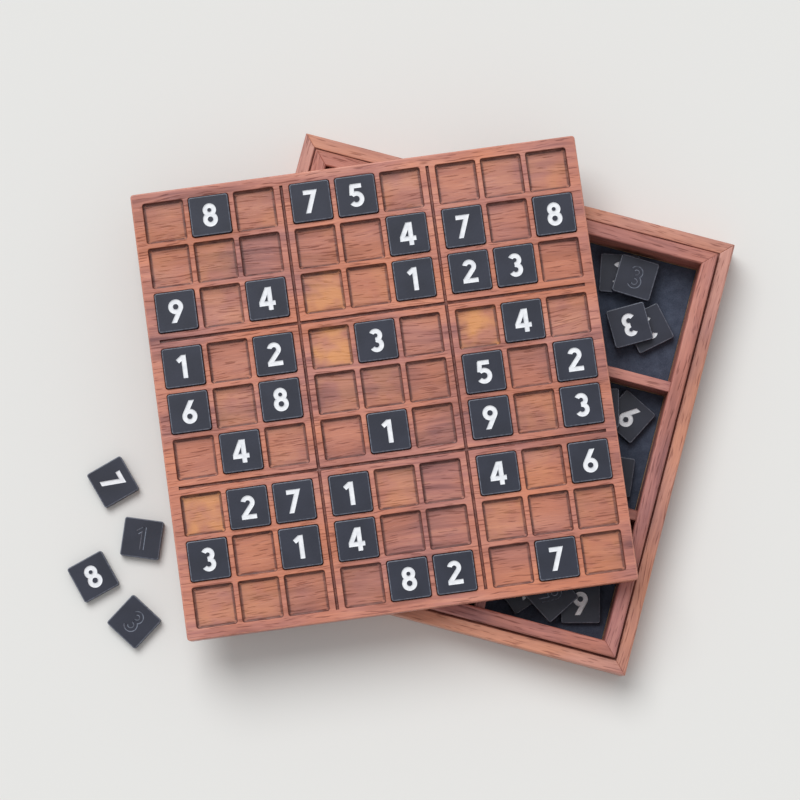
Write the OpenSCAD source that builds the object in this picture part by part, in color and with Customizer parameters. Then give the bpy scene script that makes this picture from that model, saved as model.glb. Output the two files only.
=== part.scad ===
// Sudoku set in hardwood: a routed board that lies askew on its storage tray, with number tiles
// seated in the board, sorted by number in the tray's nine compartments and lying beside it.

/* [Tiles] */
// Side of a square number tile
tile_side = 19; // [16:0.5:24]
// Thickness of a tile
tile_thick = 4.5; // [4:0.25:6]
// Radius of a tile's upright corners
tile_corner = 1.2; // [0.6:0.1:2.5]
// Bevel round both faces of a tile
tile_bevel = 0.5; // [0.2:0.1:1]

/* [Board] */
// Play between a tile and each side of its recess
cell_play = 0.3; // [0.15:0.05:0.6]
// Depth of the recess that holds a tile
cell_depth = 3; // [2:0.25:4]
// Radius of a recess's upright corners
cell_corner = 1.2; // [0.6:0.1:2]
// Wood left between two recesses of one block
cell_web = 2.4; // [1.6:0.1:5]
// Wood left between two blocks of nine recesses
block_web = 7.4; // [5:0.1:12]
// Wood left between the outer recesses and the board's edge
border = 5.2; // [4:0.1:12]
// Thickness of the board
board_thick = 14; // [12:0.5:20]
// Radius of the board's upright corners
board_corner = 1.5; // [0.8:0.1:4]
// Width of the round-bottomed groove between two blocks
groove_width = 1.6; // [1:0.1:3]
// Depth of that groove
groove_depth = 1.4; // [1:0.1:2.5]

/* [Tray] */
// Thickness of the outer walls
wall_thick = 7; // [5:0.5:10]
// Height of the outer walls, which make the ledge that the board closes on
wall_height = 22; // [19:1:40]
// Thickness of the liner strips inside the walls
liner_thick = 6.8; // [4:0.2:9]
// How far the liner strips stand above the ledge
lip_height = 3.5; // [2:0.5:5]
// Thickness of the floor panel
floor_thick = 4; // [3:0.5:6]
// How far the floor panel reaches under the outer walls
floor_rebate = 3.5; // [2:0.5:4]
// Thickness of the compartment dividers
divider_thick = 5; // [3:0.5:7]
// How far the dividers stop below the top of the liner strips
divider_drop = 2.5; // [1:0.5:5]
// Depth of the slots in the liner strips that hold the dividers' ends
slot_depth = 1.5; // [1:0.25:3]
// Thickness of the felt in the compartments
felt_thick = 1; // [0.5:0.25:2]

/* [Fits and edges] */
// Play of the liner strips in the groove under the board
lid_play = 0.4; // [0.2:0.1:1]
// Play of each glued or slotted joint
joint_play = 0.1; // [0.05:0.05:0.3]
// Play round each piece of felt
felt_play = 0.3; // [0.1:0.1:1]
// Play between tiles that lie on each other in the tray
stack_play = 0.1; // [0.05:0.05:0.3]
// Bevel along the outer edges of the board, the walls and the strips
edge_bevel = 0.6; // [0.3:0.1:1.2]

/* [Layout] */
// Turn of the board on the tray, in degrees
board_turn = 22.6; // [0:0.1:45]
// Shift of the board's centre to the right of the tray's
board_right = -39.5; // [-60:0.5:60]
// Shift of the board's centre towards the back of the tray
board_back = -4.5; // [-60:0.5:60]

/* [Hidden] */
$fn = 32;
SPILL = 1;
CELLS = 9;
BLOCK = 3;
SIDES = ["front", "right", "back", "left"];
EMPTY = 0;

// The puzzle, row by row from the back of the board, with 0 for an empty recess
PUZZLE = [
    [0, 8, 0,  7, 5, 0,  0, 0, 0],
    [0, 0, 0,  0, 0, 4,  7, 0, 8],
    [9, 0, 4,  0, 0, 1,  2, 3, 0],
    [1, 0, 2,  0, 3, 0,  0, 4, 0],
    [6, 0, 8,  0, 0, 0,  5, 0, 2],
    [0, 4, 0,  0, 1, 0,  9, 0, 3],
    [0, 2, 7,  1, 0, 0,  4, 0, 6],
    [3, 0, 1,  4, 0, 0,  0, 0, 0],
    [0, 0, 0,  0, 8, 2,  0, 7, 0]
];

// Tiles on the table: number, distance left of the tray, distance back from its front, turn
LOOSE = [
    [7, 48, 28, -45],
    [1, 27, 5, 7],
    [8, 45, -19, 44],
    [3, 20, -35, -28]
];

// Grid and board
cell = tile_side + 2 * cell_play;
grid = CELLS * cell + (CELLS - BLOCK) * cell_web + (BLOCK - 1) * block_web;
board_side = grid + 2 * border;
block_line = BLOCK / 2 * cell + (BLOCK - 1) / 2 * cell_web + block_web / 2;
function cell_at(i) = -grid / 2 + cell / 2 + i * (cell + cell_web)
    + floor(i / BLOCK) * (block_web - cell_web);

// Tray
half = board_side / 2;
liner_out = half - wall_thick;
liner_in = liner_out - liner_thick;
lip_top = wall_height + lip_height;
divider_top = lip_top - divider_drop;
divider_mid = (floor_thick + divider_top) / 2;
divider_length = 2 * (liner_in + slot_depth - joint_play);
compartment = (2 * liner_in - (BLOCK - 1) * divider_thick) / BLOCK;
compartment_pitch = compartment + divider_thick;
felt_top = floor_thick + felt_thick;

// Tiles
PLACES = [for (r = [0 : CELLS - 1], c = [0 : CELLS - 1]) if (PUZZLE[r][c] != EMPTY) [r, c]];
function on_board(n) = len([for (p = PLACES) if (PUZZLE[p[0]][p[1]] == n) p]);
function on_table(n) = len([for (t = LOOSE) if (t[0] == n) t]);
function stored(n) = CELLS - on_board(n) - on_table(n);
function tile_name(p) = str("tile_r", p[0] + 1, "c", p[1] + 1);

// Heaps in a compartment: steps right and back from its middle, layer, turn in degrees.
// Up to four tiles lie in pairs, one half across the other.
PAIRS = [
    [-0.47, 1.18, 0, 11], [0.91, -0.34, 0, 41],
    [0.07, 1.14, 1, -2], [0.27, -0.44, 1, 30]
];
// More make a pile: four on the felt, two across them and one across those.
PILE = [
    [1, 1, 0, -45], [1, -1, 0, -12], [-1, -1, 0, 21], [-1, 1, 0, -36],
    [0, 1, 1, -3], [0, -1, 1, 30],
    [0, 0, 2, -27]
];
PILE_TURN = 3;
heap_step = compartment / 4;
layer_step = tile_thick + stack_play;
function heap(n) = stored(n) <= len(PAIRS) ? PAIRS : [for (h = PILE) h + [0, 0, 0, PILE_TURN * n]];

WALNUT = [0.66, 0.4, 0.3];
LINER_WOOD = [0.62, 0.37, 0.32];
BOARD_WOOD = [0.7, 0.43, 0.31];
PLYWOOD = [0.6, 0.42, 0.28];
FELT = [0.07, 0.08, 0.1];
MELAMINE = [0.16, 0.17, 0.21];

// A square with rounded corners
module rounded_square(side, radius) {
    square([side - 2 * radius, side], center = true);
    square([side, side - 2 * radius], center = true);
    for (x = [-1, 1], y = [-1, 1])
        translate([x, y] * (side / 2 - radius)) circle(radius);
}

// The side view of a plate whose upper and lower edges are bevelled
module bevelled_profile(side, height, bevel) {
    polygon([
        [-side / 2 + bevel, 0], [side / 2 - bevel, 0],
        [side / 2, bevel], [side / 2, height - bevel],
        [side / 2 - bevel, height], [-side / 2 + bevel, height],
        [-side / 2, height - bevel], [-side / 2, bevel]
    ]);
}

// A square plate with rounded corners and bevelled edges, standing on its lower face
module bevelled_plate(side, height, radius, bevel) {
    intersection() {
        linear_extrude(height) rounded_square(side, radius);
        for_both_ways() rotate([90, 0, 0])
            linear_extrude(side + 2 * SPILL, center = true) bevelled_profile(side, height, bevel);
    }
}

// The part that a shape shares with itself turned by a quarter
module for_both_ways() {
    intersection() {
        children();
        rotate(90) children();
    }
}

module tile() {
    color(MELAMINE) bevelled_plate(tile_side, tile_thick, tile_corner, tile_bevel);
}

// A straight strip along one side of the tray, mitred at both ends.
// The outline's first number runs inwards from the tray's outer face, its second upwards.
module mitred_strip(side, outline) {
    rotate(90 * side) intersection() {
        rotate([90, 0, 90]) linear_extrude(2 * half, center = true)
            translate([-half, 0]) polygon(outline);
        linear_extrude(lip_top + SPILL) polygon([[-half, -half], [half, -half], [0, 0]]);
    }
}

// Floor panel, glued in a rebate so that it is flush with the walls' lower edges
module tray_floor() {
    side = 2 * (liner_out + floor_rebate - joint_play);
    color(PLYWOOD) translate([-side / 2, -side / 2, 0]) cube([side, side, floor_thick]);
}

// Nine squares of felt, one in each compartment
module tray_felt() {
    side = compartment - 2 * felt_play;
    color(FELT) for (x = [-1 : 1], y = [-1 : 1])
        translate([x * compartment_pitch - side / 2, y * compartment_pitch - side / 2, floor_thick])
            cube([side, side, felt_thick]);
}

// Outer wall with its rebate for the floor
module tray_wall(side) {
    color(WALNUT) mitred_strip(side, [
        [edge_bevel, 0], [wall_thick - floor_rebate, 0],
        [wall_thick - floor_rebate, floor_thick], [wall_thick, floor_thick],
        [wall_thick, wall_height], [edge_bevel, wall_height],
        [0, wall_height - edge_bevel], [0, edge_bevel]
    ]);
}

// Liner strip glued inside a wall, whose upper edge makes the lip that locates the board
module liner_strip(side) {
    inner = wall_thick + liner_thick;
    color(LINER_WOOD) difference() {
        mitred_strip(side, [
            [wall_thick, floor_thick], [inner, floor_thick],
            [inner, lip_top - edge_bevel], [inner - edge_bevel, lip_top],
            [wall_thick + edge_bevel, lip_top], [wall_thick, lip_top - edge_bevel]
        ]);
        rotate(90 * side) for (x = [-1, 1])
            translate([x * compartment_pitch / 2, -liner_in, floor_thick - SPILL])
                divider_slot();
    }
}

// Stopped slot for one end of a divider, open towards the compartments
module divider_slot() {
    width = divider_thick + 2 * joint_play;
    translate([-width / 2, -slot_depth, 0])
        cube([width, slot_depth + SPILL, divider_top + joint_play - floor_thick + SPILL]);
}

// Divider slat along X, cut half through where it crosses the other two
module divider(lap_from, lap_to) {
    lap = divider_thick + 2 * joint_play;
    difference() {
        translate([-divider_length / 2, -divider_thick / 2, floor_thick])
            cube([divider_length, divider_thick, divider_top - floor_thick]);
        for (x = [-1, 1]) translate([x * compartment_pitch / 2 - lap / 2, -lap / 2, lap_from])
            cube([lap, lap, lap_to - lap_from]);
    }
}

// Two slats between the rows of compartments, cut from above
module row_dividers() {
    color(LINER_WOOD) for (y = [-1, 1]) translate([0, y * compartment_pitch / 2, 0])
        divider(divider_mid, divider_top + SPILL);
}

// Two slats between the columns of compartments, cut from below
module column_dividers() {
    color(LINER_WOOD) for (x = [-1, 1]) translate([x * compartment_pitch / 2, 0, 0]) rotate(90)
        divider(floor_thick - SPILL, divider_mid);
}

// The tiles of one number that are left over, heaped in that number's compartment.
// Heaps in one row of compartments differ by a quarter turn.
module stored_tiles(n) {
    column = (n - 1) % BLOCK - 1;
    row = 1 - floor((n - 1) / BLOCK);
    translate([column, row, 0] * compartment_pitch) rotate(90 * (n % BLOCK))
        for (i = [0 : stored(n) - 1]) let (h = heap(n)[i])
            translate([h[0] * heap_step, h[1] * heap_step, felt_top + h[2] * layer_step])
                rotate(h[3]) tile();
}

module loose_tile(t) {
    translate([-half - t[1], -half + t[2], 0]) rotate(t[3]) tile();
}

// What belongs to the board, moved to where the board lies on the liner strips
module on_tray() {
    translate([board_right, board_back, lip_top]) rotate(board_turn) children();
}

// Round-bottomed groove along X between two rows of blocks
module block_groove() {
    rotate([90, 0, 90]) linear_extrude(grid, center = true) {
        translate([0, groove_width / 2 - groove_depth]) circle(groove_width / 2);
        translate([-groove_width / 2, groove_width / 2 - groove_depth])
            square([groove_width, groove_depth - groove_width / 2 + SPILL]);
    }
}

// Groove under the board that drops over the tray's lip when the set is closed
module lip_groove() {
    outer = 2 * (liner_out + lid_play);
    inner = 2 * (liner_in - lid_play);
    translate([0, 0, -SPILL]) linear_extrude(lip_height + lid_play + SPILL) difference() {
        square(outer, center = true);
        square(inner, center = true);
    }
}

module board() {
    color(BOARD_WOOD) on_tray() difference() {
        bevelled_plate(board_side, board_thick, board_corner, edge_bevel);
        for (r = [0 : CELLS - 1], c = [0 : CELLS - 1])
            translate([cell_at(c), cell_at(r), board_thick - cell_depth])
                linear_extrude(cell_depth + SPILL) rounded_square(cell, cell_corner);
        translate([0, 0, board_thick]) for (line = [-block_line, block_line]) {
            translate([0, line, 0]) block_groove();
            rotate(90) translate([0, line, 0]) block_groove();
        }
        lip_groove();
    }
}

// Tile seated in the recess of one row and column, counted from the back left
module board_tile(p) {
    on_tray() translate([cell_at(p[1]), -cell_at(p[0]), board_thick - cell_depth]) tile();
}

tray_floor();
tray_felt();
for (k = [0 : 3]) {
    tray_wall(k);
    liner_strip(k);
}
row_dividers();
column_dividers();
for (n = [1 : CELLS]) stored_tiles(n);
for (t = LOOSE) loose_tile(t);
board();
for (p = PLACES) board_tile(p);
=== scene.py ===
import math
import random

import bmesh
import bpy
from mathutils import Matrix, Vector, noise


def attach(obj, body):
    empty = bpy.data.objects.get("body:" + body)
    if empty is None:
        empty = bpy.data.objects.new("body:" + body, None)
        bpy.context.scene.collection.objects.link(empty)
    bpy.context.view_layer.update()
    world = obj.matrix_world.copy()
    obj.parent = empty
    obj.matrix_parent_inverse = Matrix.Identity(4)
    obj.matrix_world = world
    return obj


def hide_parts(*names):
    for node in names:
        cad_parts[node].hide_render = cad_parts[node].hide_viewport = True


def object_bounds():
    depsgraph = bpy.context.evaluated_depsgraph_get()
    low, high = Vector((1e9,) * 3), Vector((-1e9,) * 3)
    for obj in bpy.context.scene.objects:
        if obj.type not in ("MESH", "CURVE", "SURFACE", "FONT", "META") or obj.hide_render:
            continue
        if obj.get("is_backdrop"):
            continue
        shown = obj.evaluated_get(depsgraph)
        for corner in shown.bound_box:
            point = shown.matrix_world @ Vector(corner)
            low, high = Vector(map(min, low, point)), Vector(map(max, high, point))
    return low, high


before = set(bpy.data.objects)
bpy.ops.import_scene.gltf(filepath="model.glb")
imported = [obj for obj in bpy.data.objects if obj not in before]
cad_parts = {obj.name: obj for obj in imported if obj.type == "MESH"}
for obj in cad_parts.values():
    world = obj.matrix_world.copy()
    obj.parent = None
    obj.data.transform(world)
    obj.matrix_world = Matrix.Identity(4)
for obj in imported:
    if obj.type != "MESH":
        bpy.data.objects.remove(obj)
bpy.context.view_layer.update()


# Tray floor: a thin sheet of birch plywood, sawn square and glued into the rebate of the walls.
# Only its underside is ever seen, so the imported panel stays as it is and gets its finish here.
# A wood's colours are its pale, warm and deep tones and the glow of its warmer patches.
PLY_WOOD = [(226, 196, 150), (206, 168, 120), (176, 134, 90), (220, 182, 126)]
# The layers of the grain, each with its spots in a metre along the grain and across it.
WANDER = (11, 24)
TONE = (17, 38)
PATCH = (15, 27)
BAND = (8, 170)
STREAK = (26, 640)
HAIR = (130, 2300)
PORE = (105, 1500)
# How far the grain wanders sideways, and how much each layer adds to its shade.
WANDER_REACH = 0.006
TONE_SHARE = 0.42
BAND_SHARE = 0.34
STREAK_SHARE = 0.24
PATCH_SHARE = 0.55
HAIR_SHARE = 0.2
PORE_SHARE = 0.5
# The shades at which the deep, the warm and the pale tone are reached.
SHADE_DEEP = 0.14
SHADE_WARM = 0.5
SHADE_PALE = 0.88
WOOD_SATIN = 0.36
WOOD_MATT = 0.5
PORE_MATT = 0.25
HAIR_HEIGHT = 0.35
WOOD_RELIEF = 0.00008


def srgb(red, green, blue):
    """A colour as it looks on screen, 0 to 255, turned into the linear values that shaders take."""
    parts = [part / 255 for part in (red, green, blue)]
    return [p / 12.92 if p <= 0.04045 else ((p + 0.055) / 1.055) ** 2.4 for p in parts] + [1]


def add_node(tree, kind, feeds, **settings):
    """Adds a node, feeds its sockets with values or with other sockets, and returns its outputs."""
    made = tree.nodes.new(kind)
    for name, value in settings.items():
        setattr(made, name, value)
    for socket, value in feeds.items():
        if isinstance(value, bpy.types.NodeSocket):
            tree.links.new(value, made.inputs[socket])
        else:
            made.inputs[socket].default_value = value
    return made.outputs


def calculate(tree, operation, *values):
    """A sum, product or other reckoning of values and sockets."""
    return add_node(tree, "ShaderNodeMath", dict(enumerate(values)), operation=operation)[0]


def mixed(tree, amount, under, over, blend="MIX"):
    """Colour `over` laid on colour `under` by a share from 0 to 1."""
    return add_node(tree, "ShaderNodeMix", {0: amount, 6: under, 7: over},
                    data_type="RGBA", blend_type=blend)[2]


def spread(tree, value, low, high, to_low=0.0, to_high=1.0):
    """A value's range from low to high stretched to another range, and held inside it."""
    feeds = {"Value": value, "From Min": low, "From Max": high, "To Min": to_low, "To Max": to_high}
    return add_node(tree, "ShaderNodeMapRange", feeds)[0]


def clouds(tree, place, spots, detail=3.0, rough=0.5, twist=0.0):
    """Noise with so many spots in a metre."""
    feeds = {"Vector": place, "Scale": spots, "Detail": detail, "Roughness": rough, "Distortion": twist}
    return add_node(tree, "ShaderNodeTexNoise", feeds)[0]


def fibres(tree, place, spots, detail=2.0, rough=0.5):
    """Noise drawn out along X, by its spots in a metre along the grain and across it."""
    along, across = spots
    drawn = add_node(tree, "ShaderNodeMapping", {"Vector": place, "Scale": (along, across, across)})
    return clouds(tree, drawn[0], 1.0, detail, rough)


def new_group(name, inputs, outputs):
    """An empty shader group: its tree, the outputs of its inlet and the inputs of its outlet."""
    tree = bpy.data.node_groups.new(name, "ShaderNodeTree")
    for side, sockets in (("INPUT", inputs), ("OUTPUT", outputs)):
        for socket, kind in sockets.items():
            tree.interface.new_socket(socket, in_out=side, socket_type="NodeSocket" + kind)
    return tree, tree.nodes.new("NodeGroupInput").outputs, tree.nodes.new("NodeGroupOutput").inputs


def use_group(tree, group, feeds):
    """A shader group put to use in a tree: its outputs."""
    return add_node(tree, "ShaderNodeGroup", feeds, node_tree=group)


def wood_grain_group():
    """Grain along X: broad tones, warm patches, growth bands, fine streaks and short dark pores."""
    tree, given, result = new_group(
        "wood grain",
        {"Vector": "Vector", "Pale": "Color", "Warm": "Color", "Deep": "Color", "Glow": "Color"},
        {"Color": "Color", "Roughness": "Float", "Height": "Float"})
    wander = spread(tree, fibres(tree, given["Vector"], WANDER), 0, 1, -WANDER_REACH, WANDER_REACH)
    sideways = add_node(tree, "ShaderNodeCombineXYZ", {"Y": wander})
    line = add_node(tree, "ShaderNodeVectorMath", {0: given["Vector"], 1: sideways[0]})[0]
    tone = spread(tree, fibres(tree, line, TONE), 0.3, 0.7)
    patch = spread(tree, fibres(tree, given["Vector"], PATCH, 3), 0.42, 0.62)
    band = spread(tree, fibres(tree, line, BAND, 3, 0.6), 0.34, 0.66)
    streak = spread(tree, fibres(tree, line, STREAK, 3, 0.6), 0.34, 0.66)
    hair = spread(tree, fibres(tree, line, HAIR, 2, 0.6), 0.35, 0.65)
    pore = spread(tree, fibres(tree, line, PORE, 1), 0.6, 0.68)
    shade = calculate(tree, "MULTIPLY", band, BAND_SHARE)
    shade = calculate(tree, "MULTIPLY_ADD", tone, TONE_SHARE, shade)
    shade = calculate(tree, "MULTIPLY_ADD", streak, STREAK_SHARE, shade)
    colour = mixed(tree, spread(tree, shade, SHADE_DEEP, SHADE_WARM), given["Deep"], given["Warm"])
    colour = mixed(tree, spread(tree, shade, SHADE_WARM, SHADE_PALE), colour, given["Pale"])
    colour = mixed(tree, calculate(tree, "MULTIPLY", patch, PATCH_SHARE), colour, given["Glow"])
    colour = mixed(tree, spread(tree, hair, 0, 1, HAIR_SHARE, 0), colour, given["Deep"])
    colour = mixed(tree, calculate(tree, "MULTIPLY", pore, PORE_SHARE), colour, given["Deep"], "MULTIPLY")
    rough = spread(tree, streak, 0, 1, WOOD_MATT, WOOD_SATIN)
    rough = calculate(tree, "MULTIPLY_ADD", pore, PORE_MATT, rough)
    height = calculate(tree, "SUBTRACT", calculate(tree, "MULTIPLY", hair, HAIR_HEIGHT), pore)
    tree.links.new(colour, result["Color"])
    tree.links.new(rough, result["Roughness"])
    tree.links.new(height, result["Height"])
    return tree


wood_grain = wood_grain_group()


def new_finish(name):
    """An empty material: its node tree, its shader and its Object coordinates."""
    finish = bpy.data.materials.new(name)
    finish.use_nodes = True
    tree = finish.node_tree
    shader = tree.nodes["Principled BSDF"]
    place = add_node(tree, "ShaderNodeTexCoord", {})["Object"]
    return finish, tree, shader, place


def grain_of(tree, place, colours, turn, start):
    """The wood grain in a material, turned about Z and started at its own spot of the tree."""
    laid = add_node(tree, "ShaderNodeMapping", {"Vector": place, "Rotation": (0, 0, -turn),
                                                "Location": (start, start / 2, start / 3)})
    tones = {name: srgb(*colour) for name, colour in zip(("Pale", "Warm", "Deep", "Glow"), colours)}
    return use_group(tree, wood_grain, {"Vector": laid[0], **tones})


def raised(tree, shader, height, distance):
    """Fine relief in a surface, in metres."""
    bump = add_node(tree, "ShaderNodeBump", {"Height": height, "Distance": distance, "Strength": 1.0})
    tree.links.new(bump[0], shader.inputs["Normal"])


def wood_finish(name, colours, turn=0.0, start=0.0, over=None):
    """Oiled wood whose grain runs along X, or along another line turned from it.
    The last value is a function that lays its own effect over the grain's colour."""
    finish, tree, shader, place = new_finish(name)
    grain = grain_of(tree, place, colours, turn, start)
    colour = over(tree, place, grain["Color"]) if over else grain["Color"]
    tree.links.new(colour, shader.inputs["Base Color"])
    tree.links.new(grain["Roughness"], shader.inputs["Roughness"])
    raised(tree, shader, grain["Height"], WOOD_RELIEF)
    return finish


floor_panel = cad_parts["tray_floor"]
floor_panel.data.materials.clear()
floor_panel.data.materials.append(wood_finish("birch plywood", PLY_WOOD))


# Felt: nine squares cut from one sheet of slate-coloured felt and glued to the compartment floors.
# The cut edge is a little rounded and the pressed wool isn't quite even.
FELT_PALE = (86, 95, 113)
FELT_DEEP = (56, 63, 79)
FELT_PARTS = 22
FELT_DIP = 0.00012
FELT_DIPS = 180
FELT_EDGE = 0.0003
FELT_EDGE_PARTS = 2
FELT_CLUMPS = 260
FELT_HAIRS = 1900
FELT_HAIR_SHARE = 0.65
FELT_RELIEF = 0.0004
MERGE = 1e-6


def merged_copy(node):
    """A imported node's mesh with the points that lie on each other made one."""
    mesh = bmesh.new()
    mesh.from_mesh(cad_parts[node].data)
    bmesh.ops.remove_doubles(mesh, verts=mesh.verts, dist=MERGE)
    return mesh


def corners_of(faces):
    """The low and the high corner of the box round some faces."""
    points = [vert.co for face in faces for vert in face.verts]
    low = Vector([min(point[axis] for point in points) for axis in range(3)])
    high = Vector([max(point[axis] for point in points) for axis in range(3)])
    return low, high


def solids_of(node):
    """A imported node's merged mesh, and its separate solids as lists of faces from the lowest up."""
    mesh = merged_copy(node)
    left = set(mesh.faces)
    found = []
    while left:
        island = set()
        front = [left.pop()]
        while front:
            face = front.pop()
            island.add(face)
            near = {other for edge in face.edges for other in edge.link_faces} & left
            left -= near
            front.extend(near)
        found.append(list(island))
    return mesh, sorted(found, key=lambda faces: [round(x, 5) for x in corners_of(faces)[0].zyx])


def add_piece(name, mesh, finishes, body, slot, *nodes):
    """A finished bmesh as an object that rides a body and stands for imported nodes."""
    data = bpy.data.meshes.new(name)
    mesh.to_mesh(data)
    mesh.free()
    for finish in finishes:
        data.materials.append(finish)
    piece = bpy.data.objects.new(name, data)
    bpy.context.scene.collection.objects.link(piece)
    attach(piece, body)
    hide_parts(*nodes)
    return piece


def felt_finish():
    """Pressed wool: clumps with crossing hairs on them."""
    finish, tree, shader, place = new_finish("slate felt")
    clump = clouds(tree, place, FELT_CLUMPS)
    hair = clouds(tree, place, FELT_HAIRS, detail=4.0, rough=0.7, twist=1.5)
    fuzz = calculate(tree, "MULTIPLY", clump, 1 - FELT_HAIR_SHARE)
    fuzz = calculate(tree, "MULTIPLY_ADD", hair, FELT_HAIR_SHARE, fuzz)
    colour = mixed(tree, spread(tree, fuzz, 0.36, 0.66), srgb(*FELT_DEEP), srgb(*FELT_PALE))
    tree.links.new(colour, shader.inputs["Base Color"])
    shader.inputs["Roughness"].default_value = 0.95
    shader.inputs["Specular IOR Level"].default_value = 0.15
    shader.inputs["Sheen Weight"].default_value = 0.12
    raised(tree, shader, fuzz, FELT_RELIEF)
    return finish


felt = bmesh.new()
packed_felt, pads = solids_of("tray_felt")
for pad in pads:
    low, high = corners_of(pad)
    side = high.x - low.x
    middle = Matrix.Translation(((low.x + high.x) / 2, (low.y + high.y) / 2, high.z))
    grid = bmesh.ops.create_grid(felt, x_segments=FELT_PARTS, y_segments=FELT_PARTS, size=side / 2,
                                 matrix=middle)["verts"]
    for vert in grid:
        vert.co.z -= FELT_DIP * (0.5 + 0.5 * noise.noise(vert.co * FELT_DIPS))
    top = list({face for vert in grid for face in vert.link_faces})
    rim = [edge for edge in {e for face in top for e in face.edges} if edge.is_boundary]
    sunk = bmesh.ops.extrude_edge_only(felt, edges=rim)["geom"]
    foot = [part for part in sunk if isinstance(part, bmesh.types.BMVert)]
    for vert in foot:
        vert.co.z = low.z
    loop = [part for part in sunk if isinstance(part, bmesh.types.BMEdge) and part.is_boundary]
    bmesh.ops.contextual_create(felt, geom=loop)
    bmesh.ops.bevel(felt, geom=rim, offset=FELT_EDGE, segments=FELT_EDGE_PARTS, profile=0.5,
                    affect="EDGES", material=-1)
packed_felt.free()
bmesh.ops.recalc_face_normals(felt, faces=felt.faces)
felt_lining = add_piece("felt_lining", felt, [felt_finish()], "tray", "felt", "tray_felt")


# Outer walls: four hardwood strips, rebated for the floor, mitred and glued at the corners.
# Their flat upper edge is the ledge that the board closes on. Its inner edge is chamfered and painted dark
# as shade, which leaves a dark line at the foot of the liners' lip, and all other corners are lightly
# sanded.
WALL_WOOD = [(216, 159, 142), (188, 132, 119), (132, 83, 80), (216, 144, 104)]
# A dark brown for painted shade in the walls' chamfers and the board's recesses, and for the real pores of
# the end grain.
SHADE_AND_PORE_BROWN = (88, 46, 42)
PAINTED_SHADE_CLOUDS = 240
WALL_EASE = 0.00035
WALL_CHAMFER = 0.0011
EASE_PARTS = 2
FLAT = math.radians(1)
SHARP = math.radians(20)
QUARTER = math.radians(90)
STRIPS = {"front": 0.0, "right": QUARTER, "back": 0.0, "left": QUARTER}
STRIP_STEP = 0.3


def painted_shade_group():
    """Painted shade: dark brown where a mesh is marked for shade, a little broken up."""
    tree, given, result = new_group(
        "painted_shade",
        {"Vector": "Vector", "Color": "Color", "Shade Colour": "Color", "Shade Share": "Float"},
        {"Color": "Color"})
    cloud = spread(tree, clouds(tree, given["Vector"], PAINTED_SHADE_CLOUDS), 0.3, 0.7, 0.6, 0.95)
    share = calculate(tree, "MULTIPLY", spread(tree, given["Shade Share"], 0.05, 0.7), cloud)
    tree.links.new(mixed(tree, share, given["Color"], given["Shade Colour"]), result["Color"])
    return tree


painted_shade = painted_shade_group()


def mark_of(tree, name):
    """A value that the mesh carries on its faces or points, such as how pale its edges are painted."""
    return add_node(tree, "ShaderNodeAttribute", {}, attribute_name=name)["Fac"]


def with_painted_shade(tree, place, colour):
    """A colour with painted shade on it where the mesh is marked for shade."""
    feeds = {"Vector": place, "Color": colour, "Shade Colour": srgb(*SHADE_AND_PORE_BROWN), "Shade Share": mark_of(tree, "shade_mark")}
    return use_group(tree, painted_shade, feeds)["Color"]


def sanded(node, ease, chamfer=0.0):
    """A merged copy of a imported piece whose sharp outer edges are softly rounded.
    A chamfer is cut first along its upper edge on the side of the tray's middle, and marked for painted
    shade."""
    mesh = merged_copy(node)
    bmesh.ops.dissolve_limit(mesh, angle_limit=FLAT, verts=mesh.verts, edges=mesh.edges)
    if chamfer:
        shade_mark = mesh.faces.layers.float.new("shade_mark")
        top = max(vert.co.z for vert in mesh.verts)
        level = [edge for edge in mesh.edges if min(vert.co.z for vert in edge.verts) > top - ease]
        inner = min(level, key=lambda edge: (edge.verts[0].co + edge.verts[1].co).xy.length)
        cut = bmesh.ops.bevel(mesh, geom=[inner], offset=chamfer, segments=1, profile=0.5,
                              affect="EDGES", material=-1)
        # The chamfer's faces are marked for painted shade: the dark line at the foot of the lip.
        for face in cut["faces"]:
            face[shade_mark] = 1
    edges = [edge for edge in mesh.edges if edge.is_convex and edge.calc_face_angle(0) > SHARP]
    bmesh.ops.bevel(mesh, geom=edges, offset=ease, segments=EASE_PARTS, profile=0.5, affect="EDGES",
                    material=-1, clamp_overlap=True)
    return mesh


for number, (side_name, turn) in enumerate(STRIPS.items()):
    finish = wood_finish("wall wood " + side_name, WALL_WOOD, turn, STRIP_STEP * number, with_painted_shade)
    node = "tray_wall_" + side_name
    strip = sanded(node, WALL_EASE, WALL_CHAMFER)
    add_piece("wall_" + side_name, strip, [finish], "tray", "wall_wood", node)


# Liner strips: redder strips of the same wood, mitred and glued inside the walls.
# They stand above the ledge as a lip for the board, and stopped slots take the dividers' ends.
LINER_WOOD = [(204, 143, 130), (172, 112, 106), (118, 70, 70), (200, 124, 98)]
LINER_START = 2
LINER_EASE = 0.0003

for number, (side_name, turn) in enumerate(STRIPS.items()):
    start = LINER_START + STRIP_STEP * number
    finish = wood_finish("liner wood " + side_name, LINER_WOOD, turn, start)
    node = "liner_strip_" + side_name
    add_piece("liner_" + side_name, sanded(node, LINER_EASE), [finish], "tray", "liner_wood", node)


# Dividers: two slats each way, halved into each other where they cross and slid into the liners.
# They part the tray into nine compartments, one for each number.
DIVIDER_START = 5
DIVIDER_EASE = 0.0004

for way, turn in (("row", 0.0), ("column", QUARTER)):
    finish = wood_finish("divider wood " + way, LINER_WOOD, turn, DIVIDER_START + turn)
    node = way + "_dividers"
    add_piece(way + "_slats", sanded(node, DIVIDER_EASE), [finish], "tray", "liner_wood", node)


# Number tiles: square chips of black melamine, sawn, tumbled so that every edge is round, and
# engraved with one plain number on both faces. One face's number is filled with white paint.
TILE_BLACK = (31, 35, 49)
TILE_GREY = (40, 44, 59)
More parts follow.
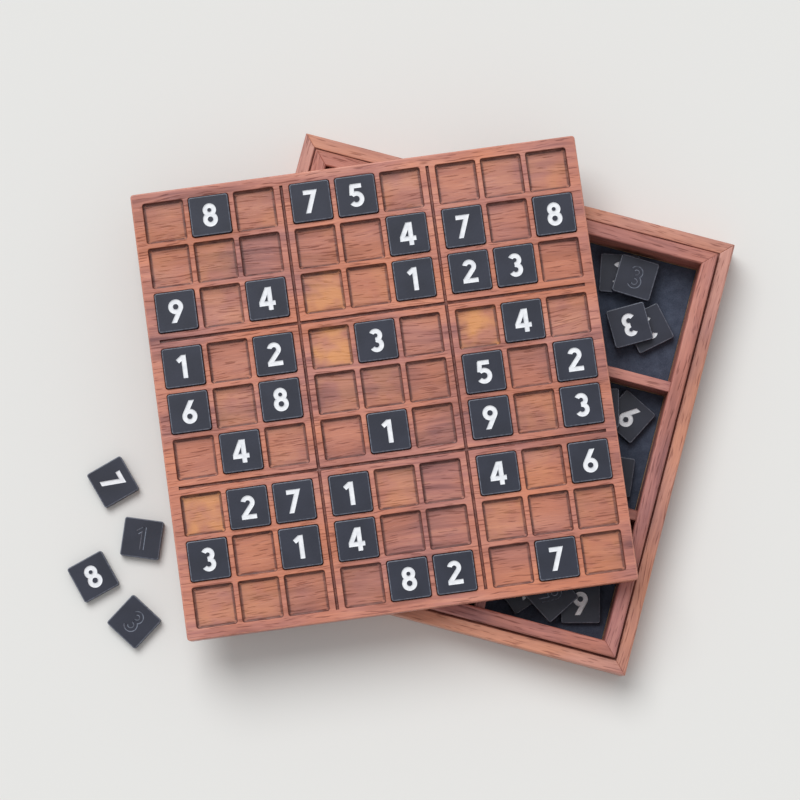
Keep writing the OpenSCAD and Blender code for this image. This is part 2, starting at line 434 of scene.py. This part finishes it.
# The paler colour of the tiles' round edges, partly wear and partly painted highlight, and of the unpainted
# numbers' cut sides, painted highlight.
TILE_WEAR_AND_GLINT = (124, 130, 144)
TILE_CLOUDS = 70
TILE_SPECKS = 900
TILE_RELIEF = 0.00003
TILE_CORNER = 0.0012
TILE_CORNER_PARTS = 5
TILE_ROUND = 0.0005
TILE_ROUND_PARTS = 3
PAINT_WHITE = (238, 240, 244)
PAINT_GREY = (222, 225, 231)
PAINT_CLOUDS = 420
PAINT_RELIEF = 0.00005
# The engraving, in mm: its width at the face and at the floor, its depth, how much deeper and longer each
# next stroke is so that no two end in one plane, how far the cutter stands above the face, and half the
# height of a number.
CUT_WIDTH = 2.35
CUT_FLOOR = 1.35
CUT_DEPTH = 0.38
CUT_STEP = 0.004
CUT_ABOVE = 0.05
DIGIT_TOP = 5.6
MM = 0.001
# How pale the unpainted number's sloping cut sides are painted, as a highlight, and how much of a normal
# may point up or down on one of them.
CUT_GLINT = 1.6
SLOPING = 0.9
ARC_STEP = 12
FULL_TURN = 360
# A square's turn is counted from half a quarter and a little more back. Tiles lie at 44 and at 45 degrees,
# so the count begins between the two.
TURN_BACK = math.radians(45.5)
# How much of a normal may point up or down on an upright face.
UPRIGHT = 0.1
# Strokes on their centre lines in mm: a line from point to point, or an arc of a centre, a radius
# and two angles in degrees, swept clockwise. What runs past the top or the foot is cut level.
DIGITS = {
    1: [((-2.5, 2.7), (0.9, 5.2)), ((0.55, -6.0), (0.55, 6.0))],
    2: [(-0.1, 2.35, 2.2, 165, -40), ((1.585, 0.936), (-2.9, -4.4)), ((-3.75, -4.55), (3.5, -4.55))],
    3: [(-0.1, 2.45, 2.1, 150, -97), (-0.1, -2.2, 2.35, 97, -150)],
    4: [((-3.15, -2.0), (0.95, 6.0)), ((-4.1, -2.3), (3.7, -2.3)), ((1.25, -6.0), (1.25, 6.0))],
    5: [((-2.55, 4.55), (2.8, 4.55)), ((-1.75, 5.0), (-2.2, 0.1)), (-0.25, -1.85, 2.7, 135, -145)],
    6: [(0.0, -2.1, 2.45, 360, 0), ((-2.12, -0.875), (1.9, 6.1))],
    7: [((-3.4, 4.55), (2.1, 4.55)), ((2.4, 6.0), (-2.05, -6.0))],
    8: [(0.0, 2.45, 2.1, 360, 0), (0.0, -2.1, 2.45, 360, 0)],
}


def add_nib(cutter, begin, across, depth):
    """The engraving tool's outline where a stroke begins: wide at the face and narrow at the floor."""
    corners = [(-CUT_FLOOR, -depth), (CUT_FLOOR, -depth), (CUT_WIDTH, CUT_ABOVE), (-CUT_WIDTH, CUT_ABOVE)]
    return cutter.faces.new([cutter.verts.new(begin + across * (width / 2) + Vector((0, 0, height)))
                             for width, height in corners])


def cut_line(cutter, route, depth):
    """A straight stroke, as a closed bar with sloping sides."""
    begin, end = [Vector((*point, 0)) for point in route]
    across = (end - begin).cross(Vector((0, 0, 1))).normalized()
    nib = add_nib(cutter, begin, across, depth)
    swept = bmesh.ops.extrude_face_region(cutter, geom=[nib])["geom"]
    moved = [part for part in swept if isinstance(part, bmesh.types.BMVert)]
    bmesh.ops.translate(cutter, verts=moved, vec=end - begin)


def cut_arc(cutter, route, depth):
    """A round stroke, as a closed bar with sloping sides, or as a ring."""
    centre_x, centre_y, radius, first, last = route
    centre = Vector((centre_x, centre_y, 0))
    across = Vector((math.cos(math.radians(first)), math.sin(math.radians(first)), 0))
    nib = add_nib(cutter, centre + across * radius, across, depth)
    swing = first - last
    outline = [nib]
    if swing == FULL_TURN:
        outline = nib.edges[:]
        cutter.faces.remove(nib)
    bmesh.ops.spin(cutter, geom=outline, cent=centre, axis=(0, 0, -1), angle=math.radians(swing),
                   steps=round(swing / ARC_STEP), use_merge=swing == FULL_TURN)


def digit_cutter(number):
    """The engraving tool's path for one number, as solid bars. A 9 is a 6 turned round."""
    cutter = bmesh.new()
    routes = DIGITS[6 if number == 9 else number]
    lines = [route for route in routes if len(route) == 2]
    arcs = [route for route in routes if len(route) != 2]
    for place, route in enumerate(lines):
        cut_line(cutter, route, CUT_DEPTH + CUT_STEP * place)
        top = DIGIT_TOP + CUT_STEP * place
        for way in (-1, 1):
            cut = bmesh.ops.bisect_plane(cutter, geom=cutter.verts[:] + cutter.edges[:] + cutter.faces[:],
                                         plane_co=(0, way * top, 0), plane_no=(0, way, 0),
                                         clear_outer=True)["geom_cut"]
            bmesh.ops.holes_fill(cutter, edges=[e for e in cut if isinstance(e, bmesh.types.BMEdge)])
    for place, route in enumerate(arcs, len(lines)):
        cut_arc(cutter, route, CUT_DEPTH + CUT_STEP * place)
    if number == 9:
        bmesh.ops.rotate(cutter, verts=cutter.verts, matrix=Matrix.Rotation(math.pi, 3, "Z"))
    bmesh.ops.recalc_face_normals(cutter, faces=cutter.faces)
    bmesh.ops.scale(cutter, verts=cutter.verts, vec=(MM, MM, MM))
    return cutter


def cut_away(body, cutter):
    """A body without what a cutter takes from it. Each cut face keeps the cutter's finish number."""
    pair = []
    for mesh in (body, cutter):
        data = bpy.data.meshes.new("shape")
        mesh.to_mesh(data)
        mesh.free()
        data.materials.append(None)
        data.materials.append(None)
        pair.append(bpy.data.objects.new("shape", data))
        bpy.context.scene.collection.objects.link(pair[-1])
    tool = pair[0].modifiers.new("cut", "BOOLEAN")
    tool.object = pair[1]
    tool.operation = "DIFFERENCE"
    tool.solver = "EXACT"
    tool.use_self = True
    result = bmesh.new()
    result.from_mesh(pair[0].evaluated_get(bpy.context.evaluated_depsgraph_get()).data)
    for shape in pair:
        data = shape.data
        bpy.data.objects.remove(shape)
        bpy.data.meshes.remove(data)
    return result


def lie_of(faces):
    """How a square solid lies: its middle, its turn about Z within a quarter, its side and its height."""
    low, high = corners_of(faces)
    flank = max((face for face in faces if abs(face.normal.z) < UPRIGHT), key=lambda face: face.calc_area())
    turn = (math.atan2(flank.normal.y, flank.normal.x) + TURN_BACK) % QUARTER - TURN_BACK
    out = [vert.co.dot(flank.normal) for face in faces for vert in face.verts]
    return (low + high) / 2, turn, max(out) - min(out), high.z - low.z


def rounded_block(side, height, corner, corner_parts, edge, edge_parts):
    """A square block round the origin with rounded uprights and rounded upper and lower edges."""
    block = bmesh.new()
    wear_and_glint = block.faces.layers.float.new("wear_and_glint")
    bmesh.ops.create_cube(block, size=1, matrix=Matrix.Diagonal((side, side, height, 1)))
    upright = [e for e in block.edges if abs(e.verts[0].co.z - e.verts[1].co.z) > height / 2]
    bmesh.ops.bevel(block, geom=upright, offset=corner, segments=corner_parts, profile=0.5,
                    affect="EDGES", material=-1)
    rims = [e for e in block.edges if {round(abs(f.normal.z)) for f in e.link_faces} == {0, 1}]
    made = bmesh.ops.bevel(block, geom=rims, offset=edge, segments=edge_parts, profile=0.5,
                           affect="EDGES", material=-1)
    # The round edges are marked to be painted paler: partly wear, partly painted highlight.
    for face in made["faces"]:
        face[wear_and_glint] = 1
    return block


def tile_mesh(number, side, thick):
    """A tile round the origin: its painted number above, its unpainted one below."""
    tile = rounded_block(side, thick, TILE_CORNER, TILE_CORNER_PARTS, TILE_ROUND, TILE_ROUND_PARTS)
    for turn, paint in ((0, 1), (math.pi, 0)):
        cutter = digit_cutter(number)
        wear_and_glint = cutter.faces.layers.float.new("wear_and_glint")
        # The cut's sloping sides are marked for a painted highlight; on the painted face the white paint
        # hides it.
        for face in cutter.faces:
            face.material_index = paint
            face[wear_and_glint] = CUT_GLINT if abs(face.normal.z) < SLOPING else 0
        bmesh.ops.translate(cutter, verts=cutter.verts, vec=(0, 0, thick / 2))
        bmesh.ops.rotate(cutter, verts=cutter.verts, matrix=Matrix.Rotation(turn, 3, "X"))
        tile = cut_away(tile, cutter)
    bmesh.ops.dissolve_degenerate(tile, dist=MERGE, edges=tile.edges)
    bmesh.ops.triangulate(tile, faces=[face for face in tile.faces if len(face.verts) > 4])
    return tile


def wear_and_glint_group():
    """Paler edges, partly wear and partly painted highlight: a paler colour where a mesh is marked, broken
    up into specks.
    """
    tree, given, result = new_group(
        "edge wear and glint",
        {"Vector": "Vector", "Color": "Color", "Pale Edge Colour": "Color", "Wear And Glint": "Float"},
        {"Color": "Color"})
    speck = spread(tree, clouds(tree, given["Vector"], TILE_SPECKS), 0.34, 0.6, 0.3, 0.75)
    share = calculate(tree, "MULTIPLY", given["Wear And Glint"], speck)
    tree.links.new(mixed(tree, share, given["Color"], given["Pale Edge Colour"]), result["Color"])
    return tree


edge_wear_and_glint = wear_and_glint_group()


def tile_finish():
    """Satin melamine with paler edges, partly wear and partly painted highlight, and a painted highlight on
    the unpainted numbers' cut sides.
    """
    finish, tree, shader, place = new_finish("black melamine")
    speck = clouds(tree, place, TILE_SPECKS)
    cloud = spread(tree, clouds(tree, place, TILE_CLOUDS, detail=2.0), 0.35, 0.65)
    colour = mixed(tree, cloud, srgb(*TILE_BLACK), srgb(*TILE_GREY))
    pale_edged = use_group(tree, edge_wear_and_glint, {"Vector": place, "Color": colour, "Pale Edge Colour": srgb(*TILE_WEAR_AND_GLINT),
                                         "Wear And Glint": mark_of(tree, "wear_and_glint")})
    tree.links.new(pale_edged["Color"], shader.inputs["Base Color"])
    tree.links.new(spread(tree, speck, 0.35, 0.65, 0.36, 0.46), shader.inputs["Roughness"])
    shader.inputs["Specular IOR Level"].default_value = 0.33
    raised(tree, shader, speck, TILE_RELIEF)
    return finish


def paint_finish():
    """White paint wiped into the engraving, a little uneven."""
    finish, tree, shader, place = new_finish("white paint")
    patch = clouds(tree, place, PAINT_CLOUDS)
    colour = mixed(tree, spread(tree, patch, 0.35, 0.65), srgb(*PAINT_GREY), srgb(*PAINT_WHITE))
    tree.links.new(colour, shader.inputs["Base Color"])
    shader.inputs["Roughness"].default_value = 0.5
    raised(tree, shader, patch, PAINT_RELIEF)
    return finish


tile_finishes = [tile_finish(), paint_finish()]
packed_tile, solids = solids_of("loose_tile_1")
_, _, tile_side, tile_thick = lie_of(solids[0])
packed_tile.free()
tiles = {number: tile_mesh(number, tile_side, tile_thick) for number in range(1, 10)}


def lay_tiles(name, node, body, number, lies):
    """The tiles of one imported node. Each lie is its quarter turns and whether its paint is up."""
    packed, solids = solids_of(node)
    heap = bmesh.new()
    for solid, (quarters, painted) in zip(solids, lies):
        middle, turn, _, _ = lie_of(solid)
        face_up = Matrix.Identity(4) if painted else Matrix.Rotation(math.pi, 4, "X")
        turned = Matrix.Rotation(turn + quarters * QUARTER, 4, "Z")
        one = bpy.data.meshes.new("tile")
        tiles[number].to_mesh(one)
        one.transform(Matrix.Translation(middle) @ turned @ face_up)
        heap.from_mesh(one)
        bpy.data.meshes.remove(one)
    packed.free()
    add_piece(name, heap, tile_finishes, body, "tile", node)


# Stored tiles: the numbers left over, tipped into the compartment of their own number.
# They lie as they fell, some with the unpainted face up. The heaps that show have their lies listed,
# from the lowest tile up, and the hidden ones follow a rule.
LIES = {
    3: [(2, True), (0, True), (2, True), (0, False)],
    6: [(0, True), (0, False), (0, True), (2, False), (3, True), (1, False), (0, False)],
    9: [(1, True), (0, True), (2, False), (0, True), (0, False), (1, True), (0, False)],
}
for number in range(1, 10):
    node = "stored_tiles_" + str(number)
    hidden = [((place * 3 + number) % 4, (place + number) % 3 != 0) for place in range(9)]
    lay_tiles("heap_of_" + str(number), node, "tray", number, LIES.get(number, hidden))


# Board: a thick hardwood panel with 81 routed recesses, round grooves between the blocks of nine
# and a groove underneath that drops over the tray's lip. It lies askew on the open tray.
# Painted shade darkens the recesses' walls and floors, and a few floors are amber, partly tone and partly
# painted sheen.
BOARD_PALE = (218, 149, 126)
BOARD_WARM = (183, 118, 107)
BOARD_DEEP = (116, 67, 67)
BOARD_GLOW = (214, 127, 80)
BOARD_AMBER_AND_SHEEN = (236, 164, 96)
# How much paler the board's round outer edges are: partly wear, partly painted highlight.
BOARD_WEAR_AND_GLINT = 0.65
BOARD_CORNER = 0.0015
BOARD_CORNER_PARTS = 4
BOARD_EDGE = 0.0007
BOARD_EDGE_PARTS = 3
# End grain: where the tree's heart lay from the board, and its rings and tubes in a metre.
BOARD_HEART = (0, 0.06, 0.07)
BOARD_RINGS = 420
BOARD_TUBES = 2400
TUBE_SHARE = 0.55
END_SHARE = 0.8
END_FACING = 0.8
# Recesses and the webs between them.
CELL = 0.0196
CELL_WEB = 0.0024
BLOCK_WEB = 0.0074
CELL_DEPTH = 0.003
CELL_CORNER = 0.0012
CELL_CORNER_PARTS = 4
CELL_FILLET = 0.0006
FILLET_ANGLES = (0, 30, 60, 90)
CELL_EASE = 0.00035
EASE_ANGLES = (0, 25, 50, 75)
# How far across a recess floor the painted shade at the recess's foot fades out.
CELL_SHADE_RING = 0.001
# How much darker every recess floor is painted, as shade.
PAINTED_FLOOR_SHADE = 0.16
FLOOR_FACING = 0.9
SLACK = 1.1
GRID = 9 * CELL + 6 * CELL_WEB + 2 * BLOCK_WEB
# Amber floors by row and column, counted from 1 at the back left, and how strong the amber is in them
# and in the others. In the listed floors it is partly the wood's tone and partly painted sheen.
AMBER_AND_SHEEN_CELLS = {(3, 4), (4, 4), (4, 7), (7, 1)}
AMBER_STRONG = (0.75, 1)
AMBER_FAINT = (0, 0.3)
AMBER_SEED = 5
AMBER_CLOUDS = 85
# Grooves between the blocks, and the groove for the lip from its outer to its inner side.
GROOVE_WIDTH = 0.0016
GROOVE_DEPTH = 0.0014
GROOVE_ROUND = 0.46
GROOVE_PARTS = 4
BLOCK_LINE = 1.5 * CELL + CELL_WEB + BLOCK_WEB / 2
LIP_OUT = 0.1014
LIP_IN = 0.0938
LIP_DEPTH = 0.0039
PAST = 0.001


def cell_at(place):
    """The middle of a recess along a row or column, counted 0 to 8."""
    return (CELL - GRID) / 2 + place * (CELL + CELL_WEB) + place // 3 * (BLOCK_WEB - CELL_WEB)


def recess_cutter():
    """The shape of one recess below the board's face: filleted floor, upright wall, eased rim."""
    cutter = bmesh.new()
    base = bmesh.ops.create_grid(cutter, x_segments=1, y_segments=1, size=CELL / 2)["verts"]
    bmesh.ops.bevel(cutter, geom=base, offset=CELL_CORNER, segments=CELL_CORNER_PARTS, profile=0.5,
                    affect="VERTICES", material=-1)
    # A ring on the floor, where the painted shade at the recess's foot has faded out.
    levels = [(-CELL_FILLET - CELL_SHADE_RING, -CELL_DEPTH)]
    for angle in map(math.radians, FILLET_ANGLES):
        wider = CELL_FILLET * (math.sin(angle) - 1)
        levels.append((wider, CELL_FILLET * (1 - math.cos(angle)) - CELL_DEPTH))
    for angle in map(math.radians, EASE_ANGLES):
        wider = CELL_EASE * (1 - math.cos(angle))
        levels.append((wider, CELL_EASE * (math.sin(angle) - 1)))
    levels.append((wider, PAST))
    roof = cutter.faces[:]
    for level, (wider, height) in enumerate(levels):
        if level:
            grown = bmesh.ops.extrude_face_region(cutter, geom=roof)["geom"]
            if level > 1:
                bmesh.ops.delete(cutter, geom=roof, context="FACES_ONLY")
            roof = [part for part in grown if isinstance(part, bmesh.types.BMFace)]
        ring = list({vert for face in roof for vert in face.verts})
        reach = max(vert.co.x for vert in ring)
        size = (CELL / 2 + wider) / reach
        bmesh.ops.scale(cutter, verts=ring, vec=(size, size, 1))
        for vert in ring:
            vert.co.z = height
    bmesh.ops.recalc_face_normals(cutter, faces=cutter.faces)
    return cutter


def cut_recesses(cutter, thick):
    """Adds the 81 recesses to the board's cutter."""
    one = bpy.data.meshes.new("recess")
    recess = recess_cutter()
    bmesh.ops.translate(recess, verts=recess.verts, vec=(0, 0, thick / 2))
    recess.to_mesh(one)
    recess.free()
    for row in range(9):
        for column in range(9):
            before = len(cutter.verts)
            cutter.from_mesh(one)
            cutter.verts.ensure_lookup_table()
            bmesh.ops.translate(cutter, verts=cutter.verts[before:],
                                vec=(cell_at(column), cell_at(row), 0))
    bpy.data.meshes.remove(one)


def cut_grooves(cutter, thick):
    """Adds the four round-bottomed grooves between the blocks to the board's cutter."""
    size = Matrix.Diagonal((GRID, GROOVE_WIDTH, GROOVE_DEPTH + PAST, 1))
    height = (thick + PAST - GROOVE_DEPTH) / 2
    for line in (-BLOCK_LINE, BLOCK_LINE):
        for turn in (0, QUARTER):
            place = Matrix.Rotation(turn, 4, "Z") @ Matrix.Translation((0, line, height))
            bar = bmesh.ops.create_cube(cutter, size=1, matrix=place @ size)["verts"]
            foot = [e for e in {e for vert in bar for e in vert.link_edges}
                    if max(v.co.z for v in e.verts) < height and e.calc_length() > GRID / 2]
            bmesh.ops.bevel(cutter, geom=foot, offset=GROOVE_WIDTH * GROOVE_ROUND, segments=GROOVE_PARTS,
                            profile=0.5, affect="EDGES", material=-1)


def cut_lip_groove(cutter, thick):
    """Adds the square groove underneath to the board's cutter."""
    under = Matrix.Translation((0, 0, -thick / 2 - PAST))
    rim = bmesh.ops.create_grid(cutter, x_segments=1, y_segments=1, size=LIP_OUT, matrix=under)["verts"]
    middle = rim[0].link_faces[:]
    ring = bmesh.ops.inset_region(cutter, faces=middle, thickness=LIP_OUT - LIP_IN,
                                  use_boundary=True, use_even_offset=True)["faces"]
    bmesh.ops.delete(cutter, geom=middle, context="FACES")
    lifted = bmesh.ops.extrude_face_region(cutter, geom=ring)["geom"]
    bmesh.ops.translate(cutter, vec=(0, 0, LIP_DEPTH + PAST),
                        verts=[part for part in lifted if isinstance(part, bmesh.types.BMVert)])


def recess_at(point):
    """The nearest recess's row and column, and how far inside its wall a point lies."""
    column = min(range(9), key=lambda place: abs(cell_at(place) - point.x))
    row = min(range(9), key=lambda place: abs(cell_at(place) + point.y))
    return row, column, CELL / 2 - max(abs(point.x - cell_at(column)), abs(point.y + cell_at(row)))


def mark_board(board, thick):
    """Marks for its finish the board's end grain, its amber floors, which are partly painted sheen, and its
    recess floors, walls and fillets, which get painted shade.
    """
    tint = board.faces.layers.float.new("tint")
    end = board.faces.layers.float.new("end")
    floor = board.faces.layers.float.new("floor")
    shade_mark = board.verts.layers.float.new("shade_mark")
    draw = random.Random(AMBER_SEED)
    amber = {}
    for row in range(9):
        for column in range(9):
            strength = AMBER_STRONG if (row + 1, column + 1) in AMBER_AND_SHEEN_CELLS else AMBER_FAINT
            amber[row, column] = draw.uniform(*strength)
    for face in board.faces:
        middle = face.calc_center_median()
        row, column, inside = recess_at(middle)
        face[end] = abs(face.normal.x) > END_FACING
        if inside > -CELL_EASE and 0 < middle.z < thick / 2 - CELL_EASE:
            face[tint] = amber[row, column]
            face[floor] = face.normal.z > FLOOR_FACING
    # Painted shade: the walls and fillets of each recess are marked dark, fading out across the floor's
    # ring.
    for vert in board.verts:
        sunk = thick / 2 - vert.co.z
        out = max(abs(vert.co.x), abs(vert.co.y))
        if CELL_EASE / 2 < sunk < CELL_DEPTH * SLACK and out < GRID / 2 + CELL_EASE:
            vert[shade_mark] = recess_at(vert.co)[2] < CELL_FILLET * SLACK


def board_finish(turn):
    """Oiled wood with end grain, amber floors that are partly painted sheen, painted shade in the recesses,
    and outer edges made paler, partly wear and partly painted highlight.
    """
    finish, tree, shader, place = new_finish("board wood")
    heart = add_node(tree, "ShaderNodeMapping", {"Vector": place, "Rotation": (0, 0, -turn),
                                                 "Location": BOARD_HEART, "Scale": (0, 1, 1)})
    away = add_node(tree, "ShaderNodeVectorMath", {0: heart[0]}, operation="LENGTH")["Value"]
    ring = add_node(tree, "ShaderNodeTexNoise", {"W": away, "Scale": BOARD_RINGS, "Detail": 3.0},
                    noise_dimensions="1D")[0]
    tube = spread(tree, clouds(tree, place, BOARD_TUBES, detail=1.0), 0.56, 0.66, 0, TUBE_SHARE)
    rings = mixed(tree, spread(tree, ring, 0.36, 0.64), srgb(*BOARD_DEEP), srgb(*BOARD_WARM))
    rings = mixed(tree, tube, rings, srgb(*SHADE_AND_PORE_BROWN))
    grain = grain_of(tree, place, [BOARD_PALE, BOARD_WARM, BOARD_DEEP, BOARD_GLOW], turn, 0.0)
    end = calculate(tree, "MULTIPLY", mark_of(tree, "end"), END_SHARE)
    colour = mixed(tree, end, grain["Color"], rings)
    # Amber floors: a random tint of the wood in all of them, and in the listed ones partly painted sheen.
    patch = spread(tree, clouds(tree, place, AMBER_CLOUDS, detail=2.0), 0.38, 0.6, 0.12, 0.8)
    amber = calculate(tree, "MULTIPLY", mark_of(tree, "tint"), patch)
    colour = mixed(tree, amber, colour, srgb(*BOARD_AMBER_AND_SHEEN))
    # Painted shade: every recess floor a little darker.
    floor = calculate(tree, "MULTIPLY", mark_of(tree, "floor"), PAINTED_FLOOR_SHADE)
    colour = mixed(tree, floor, colour, srgb(*BOARD_DEEP))
    # Painted shade on the recess walls and fillets.
    colour = with_painted_shade(tree, place, colour)
    # Paler outer edges: partly wear, partly painted highlight.
    wear_and_glint = calculate(tree, "MULTIPLY", mark_of(tree, "wear_and_glint"), BOARD_WEAR_AND_GLINT)
    pale_edged = use_group(tree, edge_wear_and_glint, {"Vector": place, "Color": colour, "Pale Edge Colour": srgb(*BOARD_PALE),
                                         "Wear And Glint": wear_and_glint})
    tree.links.new(pale_edged["Color"], shader.inputs["Base Color"])
    tree.links.new(grain["Roughness"], shader.inputs["Roughness"])
    raised(tree, shader, grain["Height"], WOOD_RELIEF)
    return finish


packed_board, solids = solids_of("board")
board_middle, board_turn, board_side, board_thick = lie_of(solids[0])
packed_board.free()
slab = rounded_block(board_side, board_thick, BOARD_CORNER, BOARD_CORNER_PARTS, BOARD_EDGE,
                     BOARD_EDGE_PARTS)
for place in range(8):
    between = (cell_at(place) + cell_at(place + 1)) / 2
    for way in (Vector((1, 0, 0)), Vector((0, 1, 0))):
        bmesh.ops.bisect_plane(slab, geom=slab.verts[:] + slab.edges[:] + slab.faces[:],
                               plane_co=way * between, plane_no=way)
router = bmesh.new()
cut_recesses(router, board_thick)
cut_grooves(router, board_thick)
cut_lip_groove(router, board_thick)
bmesh.ops.recalc_face_normals(router, faces=router.faces)
board = cut_away(slab, router)
mark_board(board, board_thick)
bmesh.ops.transform(board, verts=board.verts,
                    matrix=Matrix.Translation(board_middle) @ Matrix.Rotation(board_turn, 4, "Z"))
add_piece("board_panel", board, [board_finish(board_turn)], "board", "board_wood", "board")


# Seated tiles: the numbers that the puzzle starts with, each a melamine tile that drops into its recess
# with a little play and stands proud of it, so that fingers can take it out again.
# The puzzle is written row by row from the back, with 0 for an empty recess.
PUZZLE = ["080750000", "000004708", "904001230", "102030040", "608000502", "040010903", "027100406",
          "301400000", "000082070"]
for row, numbers in enumerate(PUZZLE, 1):
    for column, number in enumerate(numbers, 1):
        if number != "0":
            cell_name = "r" + str(row) + "c" + str(column)
            node = "tile_" + cell_name
            lay_tiles("number_" + number + "_" + cell_name, node, node, int(number), [(0, True)])


# Loose tiles: four melamine tiles in hand, dropped on the table to the left of the set.
# Two of them lie with their unpainted face up.
for number, painted in ((7, True), (1, False), (8, True), (3, False)):
    node = "loose_tile_" + str(number)
    lay_tiles("number_" + str(number) + "_loose", node, node, number, [(0, painted)])


# Studio: a wide pale table top, soft daylight from behind and a little to the left, and a camera
# that looks down on the set from just in front of it.
TABLE_PALE = (228, 228, 226)
TABLE_REACH = 30
IMAGE_TURN = math.radians(14.8)
ELEVATION = math.radians(84)
CAMERA_AWAY = 1.4
AIM_RIGHT = -0.031
AIM_HEIGHT = 0.03
LENS = 131
LAMP_HEIGHT = math.radians(54)
LAMP_ROUND = math.radians(28)
LAMP_WIDTH = math.radians(40)
LAMP_POWER = 2.05
SKY = 0.5
BACKGROUND = 0.797

right = Vector((math.cos(IMAGE_TURN), math.sin(IMAGE_TURN), 0))
up = Vector((-math.sin(IMAGE_TURN), math.cos(IMAGE_TURN), 0))
aim = right * AIM_RIGHT + Vector((0, 0, AIM_HEIGHT))


def look_from(thing, place, at):
    """Puts a lamp or camera in its place and points it."""
    thing.location = place
    thing.rotation_euler = (at - place).to_track_quat("-Z", "Y").to_euler()


table = bmesh.new()
bmesh.ops.create_grid(table, x_segments=1, y_segments=1, size=TABLE_REACH)
table_data = bpy.data.meshes.new("table_top")
table.to_mesh(table_data)
table.free()
table_finish, _, table_shader, _ = new_finish("pale table")
table_shader.inputs["Base Color"].default_value = srgb(*TABLE_PALE)
table_shader.inputs["Roughness"].default_value = 0.9
table_shader.inputs["Specular IOR Level"].default_value = 0.0
table_data.materials.append(table_finish)
table_top = bpy.data.objects.new("table_top", table_data)
bpy.context.scene.collection.objects.link(table_top)
table_top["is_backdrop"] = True

lamp_data = bpy.data.lights.new("daylight", "SUN")
lamp_data.angle = LAMP_WIDTH
lamp_data.energy = LAMP_POWER
lamp = bpy.data.objects.new("daylight", lamp_data)
bpy.context.scene.collection.objects.link(lamp)
sideways = up * math.cos(LAMP_ROUND) - right * math.sin(LAMP_ROUND)
lamp_way = sideways * math.cos(LAMP_HEIGHT) + Vector((0, 0, math.sin(LAMP_HEIGHT)))
look_from(lamp, aim + lamp_way, aim)

world = bpy.data.worlds.new("studio")
bpy.context.scene.world = world
world.use_nodes = True
sky = world.node_tree.nodes["Background"]
sky.inputs["Color"].default_value = (1, 1, 1, 1)
ray = add_node(world.node_tree, "ShaderNodeLightPath", {})
seen = calculate(world.node_tree, "MAXIMUM", ray["Is Camera Ray"], ray["Is Glossy Ray"])
seen = calculate(world.node_tree, "MAXIMUM", seen, ray["Is Transmission Ray"])
world.node_tree.links.new(spread(world.node_tree, seen, 0, 1, SKY, BACKGROUND), sky.inputs["Strength"])

camera_data = bpy.data.cameras.new("camera")
camera_data.lens = LENS
camera = bpy.data.objects.new("camera", camera_data)
bpy.context.scene.collection.objects.link(camera)
bpy.context.scene.camera = camera
back = Vector((0, 0, math.sin(ELEVATION))) - up * math.cos(ELEVATION)
look_from(camera, aim + back * CAMERA_AWAY, aim)
bpy.context.scene.view_settings.view_transform = "Standard"

# The dressed model's box.
low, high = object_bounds()
